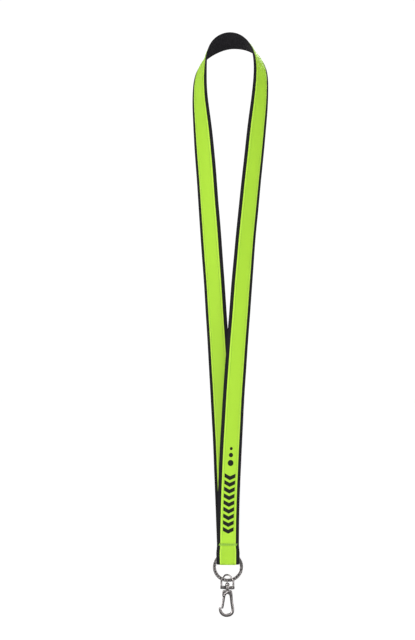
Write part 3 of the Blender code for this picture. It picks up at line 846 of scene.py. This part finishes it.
class LANYARD_OT_split_ring(bpy.types.Operator):
    """Wind the split ring: flat wire, two turns, with a row of plain pressed recesses"""

    bl_idname = "lanyard.split_ring"
    bl_label = "Split ring"

    def execute(self, context):
        """Carry a rounded rectangle round two turns, stepping from the front coil to the rear one.

        Recesses are cut in the outer face of each coil, where a square wave of the angle and the
        distance from the band's middle are both inside their limits.
        """
        settings = context.scene.lanyard_metal
        half_width = settings.ring_width / 2 / MM
        half_wire = settings.ring_wire / 2 / MM
        offset = half_wire + settings.ring_gap / 2 / MM
        middle_r = RING_OUTER_R - half_width
        turned = np.linspace(0.0, RING_WOUND, RING_SECTIONS)
        past = np.clip((turned - RING_STEP_FROM) / RING_STEP, 0, 1)
        y = offset * (2 * past * past * (3 - 2 * past) - 1)
        angle = np.radians(RING_START - turned)
        face = np.linspace(-1, 1, 23)
        corner = np.array([0.0])
        side = np.concatenate([face, corner + 1, face[::-1], corner - 1])
        top = np.concatenate([0 * face - 1, corner, 0 * face + 1, corner])
        radial = half_width * side
        depth = half_wire * top
        near_edge = np.clip((np.abs(side) - 0.86) / 0.14, 0, 1) * (np.abs(top) > 0.5)
        depth = depth * (1 - 0.22 * near_edge**2)
        outer_face = np.where(past < 0.5, -1.0, 1.0)[:, None] == np.sign(depth)[None, :]
        phase = (turned / 360.0 * settings.ring_motifs) % 1.0
        tall = np.where((turned / 360.0 * settings.ring_motifs).astype(int) % 3 == 1, 0.30, 0.58)
        bar = 1 / (1 + np.exp(-(0.30 - np.abs(phase - 0.5)) * 60))
        inside = 1 / (1 + np.exp(-(tall[:, None] - np.abs(side)[None, :]) * 22))
        steady = (np.abs(past - 0.5) > 0.49)[:, None]
        recess = bar[:, None] * inside * outer_face * steady
        depth = depth[None, :] * (1 - 0.26 * recess)
        radius = middle_r + radial[None, :]
        points = np.stack([
            RING_CENTRE[0] + radius * np.cos(angle)[:, None],
            RING_CENTRE[1] + y[:, None] + depth,
            RING_CENTRE[2] + radius * np.sin(angle)[:, None],
        ], -1)
        count, size = points.shape[:2]
        faces = closed_strip((count, size), flip=True)
        obj = new_object("ring_coils", points.reshape(-1, 3), faces,
                         metal_material("ring_nickel", settings.ring_nickel, 0.26, recess=True),
                         recess=recess)
        obj.data.set_sharp_from_angle(angle=math.radians(40))
        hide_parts("split_ring")
        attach(obj, "ring")
        return {"FINISHED"}


def plane_line(stations, count):
    """Smooth line through (x, z, ...) stations in the front plane, as arrays of each column."""
    padded = [(s[0], 0.0, s[1], *s[2:]) for s in stations]
    read = natural_spline(padded, np.linspace(0, 1, count))
    return read[:, [0, 2, *range(3, read.shape[1])]]


def part_of(array, starts, stops):
    """The block of an array between three starts and three stops."""
    return array[tuple(slice(first, last) for first, last in zip(starts, stops))]


def surface_net(field):
    """Closed skin of a sampled field where it crosses zero, in steps of the grid.

    Each cell that the surface passes through holds one point, the mean of the places where its
    twelve edges cross zero. Each grid edge that crosses zero is one quad between its four cells.
    """
    cells = np.array(field.shape) - 1
    total = np.zeros((*cells, 3))
    hits = np.zeros(cells)
    for axis in range(3):
        for b, c in ((0, 0), (1, 0), (0, 1), (1, 1)):
            corner = np.zeros(3, int)
            corner[(axis + 1) % 3], corner[(axis + 2) % 3] = b, c
            step = np.zeros(3, int)
            step[axis] = 1
            here = part_of(field, corner, corner + cells)
            there = part_of(field, corner + step, corner + step + cells)
            crosses = (here < 0) != (there < 0)
            share = np.where(crosses, here / np.where(crosses, here - there, 1.0), 0.0)
            total += crosses[..., None] * (corner + step * share[..., None])
            hits += crosses
    holds = hits > 0
    index = np.full(cells, -1)
    index[holds] = np.arange(holds.sum())
    points = np.argwhere(holds) + total[holds] / hits[holds][:, None]
    faces = []
    for axis in range(3):
        step = np.eye(3, dtype=int)
        count = np.array(field.shape) - step[axis]
        first = part_of(field, (0, 0, 0), count) < 0
        second = part_of(field, step[axis], count + step[axis]) < 0
        nodes = np.argwhere(first != second)
        outward = first[tuple(nodes.T)]
        b, c = step[(axis + 1) % 3], step[(axis + 2) % 3]
        quad = np.stack([index[tuple((nodes - o).T)] for o in (b + c, c, 0 * b, b)], -1)
        faces.append(np.where(outward[:, None], quad, quad[:, ::-1]))
    return points, np.concatenate(faces)


class Casting:
    """A cast piece as a distance field on a grid: negative inside the metal, in millimetres."""

    def __init__(self, low, high):
        self.step = bpy.context.scene.lanyard_metal.voxel / MM
        self.low = np.array(low, float)
        counts = np.ceil((np.array(high) - self.low) / self.step).astype(int)
        axes = [self.low[k] + self.step * np.arange(counts[k]) for k in range(3)]
        self.x, self.y, self.z = np.meshgrid(*axes, indexing="ij", sparse=True)
        self.field = np.full(counts, 9.0, np.float32)

    def add(self, field, blend=0.0):
        """Join a field, rounding the seam over the blend distance."""
        if blend:
            share = np.clip(0.5 + 0.5 * (self.field - field) / blend, 0, 1)
            self.field = self.field * (1 - share) + field * share - blend * share * (1 - share)
        else:
            self.field = np.minimum(self.field, field)

    def cut(self, field, blend=0.0):
        """Take a field away, rounding the edge over the blend distance."""
        if blend:
            share = np.clip(0.5 - 0.5 * (self.field + field) / blend, 0, 1)
            self.field = self.field * (1 - share) - field * share + blend * share * (1 - share)
        else:
            self.field = np.maximum(self.field, -field)

    def bar(self, line, power=2.0):
        """A bar along a line of (x, z, half width, half depth) in the front plane.

        Its section is a superellipse: the powers of the two shares add up to one, so a power of
        two gives an oval and a greater one gives flatter faces.
        """
        nearest = np.full((self.x.size, self.z.size), 1e9)
        width = np.zeros_like(nearest)
        deep = np.zeros_like(nearest)
        x = self.x[:, 0, :]
        z = self.z[0, :, :].reshape(1, -1)
        for (x0, z0, w0, d0), (x1, z1, w1, d1) in zip(line, line[1:]):
            run = max((x1 - x0) ** 2 + (z1 - z0) ** 2, 1e-9)
            t = np.clip(((x - x0) * (x1 - x0) + (z - z0) * (z1 - z0)) / run, 0, 1)
            far = np.hypot(x - x0 - t * (x1 - x0), z - z0 - t * (z1 - z0))
            closer = far < nearest
            nearest = np.where(closer, far, nearest)
            width = np.where(closer, w0 + t * (w1 - w0), width)
            deep = np.where(closer, d0 + t * (d1 - d0), deep)
        aside = (nearest / width)[:, None, :]
        ahead = self.y / deep[:, None, :]
        reach = (np.abs(aside) ** power + np.abs(ahead) ** power) ** (1 / power)
        return (reach - 1) * np.minimum(width, deep)[:, None, :]

    def capsule(self, start, end, radius):
        """A round-ended rod between two places."""
        start, run = np.array(start), np.array(end) - np.array(start)
        gaps = (self.x - start[0], self.y - start[1], self.z - start[2])
        t = np.clip(sum(gap * r for gap, r in zip(gaps, run)) / (run @ run), 0, 1)
        return np.sqrt(sum((gap - t * r) ** 2 for gap, r in zip(gaps, run))) - radius

    @staticmethod
    def eased(aside, ahead, round_by):
        """Distance to a rounded edge, from the distances past its two faces when each is drawn in."""
        outside = np.sqrt(np.maximum(aside, 0) ** 2 + np.maximum(ahead, 0) ** 2)
        return outside + np.minimum(np.maximum(aside, ahead), 0) - round_by

    def slab(self, outline, half_depth, round_by):
        """A plate of an outline in the front plane, with rounded edges.

        The distance in the plane is that to the nearest side, negative where the outline winds
        round the point; the depth is added as for a rounded box.
        """
        x, z = self.x[:, 0, :], self.z[0, :, :].reshape(1, -1)
        nearest = np.full((self.x.size, self.z.size), 1e9)
        inside = np.zeros(nearest.shape, bool)
        for (x0, z0), (x1, z1) in zip(outline, outline[1:] + outline[:1]):
            run = (x1 - x0) ** 2 + (z1 - z0) ** 2
            t = np.clip(((x - x0) * (x1 - x0) + (z - z0) * (z1 - z0)) / run, 0, 1)
            nearest = np.minimum(nearest, np.hypot(x - x0 - t * (x1 - x0), z - z0 - t * (z1 - z0)))
            spans = (z0 > z) != (z1 > z)
            inside ^= spans & (x < (x1 - x0) * (z - z0) / (z1 - z0 if z1 != z0 else 1e-9) + x0)
        aside = np.where(inside, -nearest, nearest)[:, None, :] + round_by
        return self.eased(aside, np.abs(self.y) - half_depth + round_by, round_by)

    def rounded_box(self, middle, half, round_by):
        """A box with rounded edges."""
        axes = (self.x, self.y, self.z)
        gaps = [np.abs(axis - m) - (h - round_by) for axis, m, h in zip(axes, middle, half)]
        outside = np.sqrt(sum(np.maximum(gap, 0) ** 2 for gap in gaps))
        inside = np.minimum(np.maximum(np.maximum(gaps[0], gaps[1]), gaps[2]), 0)
        return outside + inside - round_by

    def disc(self, x, z_low, z_high, radius_x, radius_y, round_by=0.3):
        """An oval disc about an upright axis."""
        radius = np.sqrt(((self.x - x) / radius_x) ** 2 + (self.y / radius_y) ** 2)
        aside = (radius - 1) * min(radius_x, radius_y) + round_by
        above = np.abs(self.z - (z_low + z_high) / 2) - (z_high - z_low) / 2 + round_by
        return self.eased(aside, above, round_by)

    def rod(self, x, z, radius, half_length=99.0, round_by=0.0):
        """A round rod from front to rear."""
        aside = np.hypot(self.x - x, self.z - z) - radius + round_by
        return self.eased(aside, np.abs(self.y) - half_length + round_by, round_by)

    def finish(self, name, material, turn=0.0, middle=(0.0, 0.0)):
        """Skin the field, turn it about an upright through the middle, and put it at the ring."""
        edges = (self.field[[0, -1]], self.field[:, [0, -1]], self.field[:, :, [0, -1]])
        if min(float(edge.min()) for edge in edges) < 0:
            raise RuntimeError(f"{name} reaches past its grid")
        points, faces = surface_net(self.field)
        points = points * self.step + self.low
        cos, sin = math.cos(turn), math.sin(turn)
        x, y = points[:, 0] - middle[0], points[:, 1] - middle[1]
        turned = np.stack([middle[0] + x * cos - y * sin, middle[1] + x * sin + y * cos, points[:, 2]], -1)
        return new_object(name, turned + RING_CENTRE, faces, material)


def clasp_nickel():
    """The clasp's plating, made once for all its pieces."""
    found = bpy.data.materials.get("clasp_nickel")
    return found or metal_material("clasp_nickel", bpy.context.scene.lanyard_metal.nickel, 0.17)


# The stirrup's arch from its right foot up to its top: x and z from the ring's centre, then the
# bar's half width and half depth
ARCH_HALF = 5.7
ARCH_RIGHT = (
    (ARCH_HALF, -17.9, 0.85, 0.9), (ARCH_HALF + 0.05, -15.0, 0.80, 0.85), (ARCH_HALF, -11.9, 0.80, 0.85),
    (ARCH_HALF - 0.45, -10.6, 0.80, 0.85), (ARCH_HALF - 1.3, -9.75, 0.76, 0.8),
    (ARCH_HALF - 2.1, -8.8, 0.73, 0.75), (ARCH_HALF - 3.15, -7.5, 0.72, 0.72), (1.35, -6.92, 0.72, 0.72),
)
ARCH_TOP = (0.0, -6.84, 0.72, 0.72)


class LANYARD_OT_stirrup(bpy.types.Operator):
    """Cast the swivel's stirrup: an arch through the ring on two shoulders and a drilled crossbar"""

    bl_idname = "lanyard.stirrup"
    bl_label = "Stirrup"

    def execute(self, context):
        """The arch is an oval bar along a smooth line; the crossbar is a rounded box with a drilled boss."""
        casting = Casting((-7.6, -2.6, -19.8), (7.6, 2.6, -5.4))
        left = [(-x, *rest) for x, *rest in reversed(ARCH_RIGHT)]
        casting.add(casting.bar(plane_line([*ARCH_RIGHT, ARCH_TOP, *left], 70)))
        casting.add(casting.rounded_box((0, 0, -17.7), (6.25, 1.6, 1.35), 0.55), 0.5)
        casting.add(casting.disc(0, -19.25, -16.15, 2.5, 2.15), 0.5)
        casting.cut(np.maximum(np.hypot(casting.x, casting.y) - 1.32, casting.z + 15.2), 0.25)
        obj = casting.finish("stirrup_casting", clasp_nickel(), context.scene.lanyard_metal.twist)
        obj.data.transform(Matrix.Translation((CLASP_X * MM, 0, 0)))
        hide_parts("swivel_stirrup")
        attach(obj, "stirrup")
        return {"FINISHED"}


def lathe(name, profile, steps, origin, material, axis="z"):
    """A turned piece: radius and height of each profile point, carried round an axis."""
    profile = np.array(profile, float)
    turn = np.linspace(0, 2 * math.pi, steps, endpoint=False)
    radius, height = profile[:, :1], profile[:, 1:]
    ring = [radius * np.cos(turn), radius * np.sin(turn), height + 0 * turn]
    if axis == "y":
        ring = [ring[0], ring[2], -ring[1]]
    points = np.stack(ring, -1) + np.array(origin)
    faces = closed_strip(points.shape[:2], flip=True)
    obj = new_object(name, points.reshape(-1, 3), faces, material)
    obj.data.set_sharp_from_angle(angle=math.radians(50))
    return obj


def dome(radius, base, height, count=9):
    """Profile of a dome from near its top down to its rim: a quarter of an ellipse."""
    angle = np.radians(np.linspace(6, 90, count))
    return list(zip(radius * np.sin(angle), base + height * np.cos(angle)))


class LANYARD_OT_post(bpy.types.Operator):
    """Turn the swivel post: a domed head above the crossbar and a shank down into the hook"""

    bl_idname = "lanyard.post"
    bl_label = "Swivel post"

    def execute(self, context):
        head, shank = 1.85, 1.2
        profile = dome(head, -15.4, 2.2)
        profile += [(head, -15.75), (1.7, -15.95), (shank, -15.98), (shank, -21.4), (1.0, -21.6)]
        origin = RING_CENTRE + np.array((CLASP_X, 0, 0))
        obj = lathe("post_turned", profile, 48, origin, clasp_nickel())
        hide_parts("swivel_post")
        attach(obj, "hook")
        return {"FINISHED"}


# The hook's bar from under its head, down the spine and round the bow to the nose: x and z from
# the ring's centre, then the bar's half width and half depth
HOOK_LINE = (
    (2.2, -22.4, 1.3, 1.7), (2.5, -23.8, 1.3, 1.7), (2.9, -27.2, 1.25, 1.5), (3.45, -31.8, 1.25, 1.4),
    (4.05, -36.4, 1.3, 1.4), (3.3, -39.4, 1.38, 1.45), (0.1, -41.2, 1.42, 1.5), (-3.6, -40.7, 1.42, 1.5),
    (-6.0, -38.4, 1.3, 1.42), (-6.8, -35.5, 1.03, 1.3),
)
# The hook's head seen from the front: x and z from the ring's centre
HOOK_HEAD = (
    (2.9, -20.0), (3.5, -20.9), (3.75, -22.6), (3.7, -24.6), (1.7, -24.9), (0.9, -23.8), (0.2, -23.2),
    (-0.5, -23.0), (-1.3, -23.4), (-2.0, -24.3), (-2.5, -25.5), (-3.5, -25.95), (-4.5, -25.4),
    (-4.95, -24.2), (-4.95, -22.4), (-4.6, -20.8), (-3.9, -20.0),
)
FLATTENED = 2.8


class LANYARD_OT_hook(bpy.types.Operator):
    """Cast the hook: a flat-topped head, the spine, the bow and the nose, with a slot for the gate"""

    bl_idname = "lanyard.hook"
    bl_label = "Hook"

    def execute(self, context):
        """A rounded head plate and an oval bar along a smooth line, blended, then slotted and drilled."""
        low, high = (HOOK_BOX[0] - RING_CENTRE), (HOOK_BOX[1] - RING_CENTRE)
        casting = Casting((low[0] - 0.65, -3.43, low[2] - 0.67), (high[0] + 0.6, 3.4, high[2] + 0.6))
        x, _, z = GATE_PIVOT
        casting.add(casting.slab(HOOK_HEAD, 2.5, 0.6))
        casting.add(casting.bar(plane_line(HOOK_LINE, 90), FLATTENED), 0.5)
        casting.add(casting.capsule((0.4, -2.15, -20.9), (-2.6, -2.15, -23.2), 0.55), 0.35)
        slot = casting.rounded_box((x - 1.2, 0, z - 1.1), (3.2, 1.42, 2.9), 0.2)
        casting.cut(slot, 0.15)
        casting.cut(casting.rod(x, z, 0.63), 0.08)
        obj = casting.finish("hook_casting", clasp_nickel())
        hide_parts("hook_body")
        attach(obj, "hook")
        return {"FINISHED"}


class LANYARD_OT_gate(bpy.types.Operator):
    """Form the gate: a tapering lever with a knuckle round the pin"""

    bl_idname = "lanyard.gate"
    bl_label = "Gate"

    def execute(self, context):
        x, _, z = GATE_PIVOT
        tip_x, tip_z = -4.75, -35.6
        casting = Casting((-6.6, -1.9, tip_z - 0.6), (x + 2.3, 1.9, z + 2.0))
        knuckle = (x, z - 0.4, 1.15, 1.2)
        middle = ((x + tip_x) / 2, (z + tip_z) / 2, 1.08, 1.2)
        tip = (tip_x, tip_z + 0.9, 0.92, 1.15)
        casting.add(casting.bar(plane_line((knuckle, middle, tip), 12), FLATTENED))
        casting.add(casting.rod(x, z, 1.32, 1.2, 0.2), 0.3)
        casting.cut(casting.rod(x, z, 0.61), 0.06)
        obj = casting.finish("gate_formed", clasp_nickel())
        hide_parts("gate_lever")
        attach(obj, "gate")
        return {"FINISHED"}


class LANYARD_OT_pin_and_spring(bpy.types.Operator):
    """Set the gate's pin and wind its torsion spring"""

    bl_idname = "lanyard.pin_and_spring"
    bl_label = "Pin and spring"

    def execute(self, context):
        """The pin is turned with a low dome at each end; the spring is one flat turn of wire."""
        origin = RING_CENTRE + GATE_PIVOT
        end = dome(0.85, 2.5, 0.35, 5)
        profile = end + [(0.85, 2.48), (0.55, 2.46), (0.55, -2.46), (0.85, -2.48)]
        profile += [(r, -h) for r, h in reversed(end)]
        pin = lathe("pin_turned", profile, 28, origin, clasp_nickel(), axis="y")
        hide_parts("gate_pin")
        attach(pin, "hook")
        steel = metal_material("spring_steel", context.scene.lanyard_metal.steel, 0.3)
        share = np.linspace(0, 1, 60)
        angle = share * 2 * math.pi
        coil_r, beside, wire_r = 0.92, 1.30, 0.1
        coil = np.stack([coil_r * np.cos(angle), beside + 0 * share, coil_r * np.sin(angle)], -1)
        turn = np.linspace(0, 2 * math.pi, 8, endpoint=False)
        out = np.stack([np.cos(angle), 0 * angle, np.sin(angle)], -1)[:, None]
        up = np.array([0.0, 1.0, 0.0])
        ring = np.cos(turn)[None, :, None] * out + np.sin(turn)[None, :, None] * up
        tube = coil[:, None] + wire_r * ring
        faces = closed_strip(tube.shape[:2])
        spring = new_object("spring_wound", (tube + origin).reshape(-1, 3), faces, steel)
        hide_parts("gate_spring")
        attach(spring, "hook")
        return {"FINISHED"}


# ---------------------------------------------------------------- stage


class LANYARD_OT_stage(bpy.types.Operator):
    """Set out the pale floor, the soft lights, the sky and the camera"""

    bl_idname = "lanyard.stage"
    bl_label = "Stage"

    def execute(self, context):
        settings = context.scene.lanyard_stage
        self.floor(settings)
        self.lights()
        camera = bpy.data.cameras.new("camera")
        camera.sensor_fit = "VERTICAL"
        camera.sensor_height = 24.0
        camera.lens = camera.sensor_height * settings.camera_distance / settings.view_height
        camera.clip_end = 100.0
        obj = bpy.data.objects.new("camera", camera)
        camera_y = HOLDER_Y * MM - settings.camera_distance
        obj.location = (settings.view_middle_x, camera_y, settings.view_middle_z)
        obj.rotation_euler = (math.radians(90), 0, 0)
        context.scene.collection.objects.link(obj)
        context.scene.camera = obj
        context.scene.view_settings.view_transform = "Standard"
        return {"FINISHED"}

    def floor(self, settings):
        """A flat pale floor well below the hook: an even grid of points at one height."""
        reach = np.linspace(-20000.0, 20000.0, 9)
        x, y = np.meshgrid(reach, reach, indexing="ij")
        points = np.stack([x, y, -760.0 + 0 * x], -1)
        made = Material("pale_paper", 0.9)
        rgb = tuple(settings.floor_colour)
        cloud = made.nodes.math("MULTIPLY", made.handling.outputs["Cloud"], 0.03)
        paper = made.nodes.mix(cloud, (*rgb, 1.0), scaled(rgb, 0.97))
        path = made.nodes.add("ShaderNodeLightPath")
        made.to("Base Color", made.nodes.mix(path.outputs["Is Glossy Ray"], paper, scaled(rgb, 0.12)))
        glow = made.nodes.mix(path.outputs["Is Camera Ray"], scaled(rgb, 0.2), scaled(rgb, 1.0))
        made.to("Emission Color", glow)
        made.shader.inputs["Emission Strength"].default_value = 0.62
        obj = new_object("floor", points.reshape(-1, 3), grid_faces(len(reach), len(reach)), made.data)

    def lights(self):
        """Two large soft boxes in front, one above, two behind, and a sky brightest behind the camera."""
        places = (("key", (-1.3, -1.9, 0.05), 1.2, 21.0), ("fill", (1.6, -1.8, -0.4), 0.9, 11.0),
                  ("top", (0.1, -0.2, 1.7), 1.2, 10.0), ("rear", (0.7, 1.9, 0.9), 1.3, 34.0),
                  ("rear_fill", (-1.5, 1.5, -0.2), 0.9, 12.0))
        middle = np.array((0.0, HOLDER_Y * MM, -0.24))
        for name, place, size, power in places:
            light = bpy.data.lights.new(name, "AREA")
            light.size = size
            light.energy = power
            obj = bpy.data.objects.new(name, light)
            obj.location = place
            toward = middle - np.array(place)
            obj.rotation_euler = Vector(toward).to_track_quat("-Z", "Y").to_euler()
            bpy.context.scene.collection.objects.link(obj)
        world = bpy.data.worlds.new("studio")
        world.use_nodes = True
        nodes = Nodes(world.node_tree)
        place = nodes.add("ShaderNodeTexCoord")
        split = nodes.add("ShaderNodeSeparateXYZ")
        nodes.link(place.outputs["Generated"], split.inputs[0])
        ahead = nodes.math("MULTIPLY_ADD", split.outputs["Y"], -1.9, -0.45, clamp=True)
        above = nodes.math("MULTIPLY", split.outputs["Z"], 1.5, clamp=True)
        glow = nodes.math("MULTIPLY_ADD", ahead, 0.95, nodes.math("MULTIPLY_ADD", above, 0.25, 0.08))
        background = world.node_tree.nodes["Background"]
        seen = nodes.add("ShaderNodeLightPath").outputs["Is Camera Ray"]
        glow = nodes.math("MAXIMUM", glow, seen)
        nodes.link(nodes.mix(glow, (0.0, 0.0, 0.0, 1.0), (1.0, 1.0, 1.0, 1.0)), background.inputs["Color"])
        background.inputs["Strength"].default_value = 1.05
        bpy.context.scene.world = world


# ---------------------------------------------------------------- the add-on

OPERATORS = (
    LANYARD_OT_stage, LANYARD_OT_webbing, LANYARD_OT_ribbon, LANYARD_OT_print, LANYARD_OT_edge_stitches,
    LANYARD_OT_tack, LANYARD_OT_split_ring, LANYARD_OT_stirrup, LANYARD_OT_post, LANYARD_OT_hook,
    LANYARD_OT_gate, LANYARD_OT_pin_and_spring,
)


class LANYARD_PT_panel(bpy.types.Panel):
    """Lists the lanyard's pieces"""

    bl_idname = "LANYARD_PT_panel"
    bl_label = "Lanyard badge holder"
    bl_space_type = "VIEW_3D"
    bl_region_type = "UI"
    bl_category = "Lanyard"

    def draw(self, context):
        for operator in OPERATORS:
            self.layout.operator(operator.bl_idname)


CLASSES = (StrapSettings, MetalSettings, StageSettings, *OPERATORS, LANYARD_PT_panel)


def register():
    for cls in CLASSES:
        bpy.utils.register_class(cls)
    bpy.types.Scene.lanyard_strap = PointerProperty(type=StrapSettings)
    bpy.types.Scene.lanyard_metal = PointerProperty(type=MetalSettings)
    bpy.types.Scene.lanyard_stage = PointerProperty(type=StageSettings)


def unregister():
    del bpy.types.Scene.lanyard_stage
    del bpy.types.Scene.lanyard_metal
    del bpy.types.Scene.lanyard_strap
    for cls in reversed(CLASSES):
        bpy.utils.unregister_class(cls)


def main():
    register()
    for operator in OPERATORS:
        category, name = operator.bl_idname.split(".")
        getattr(getattr(bpy.ops, category), name)()


if __name__ == "__main__":
    main()
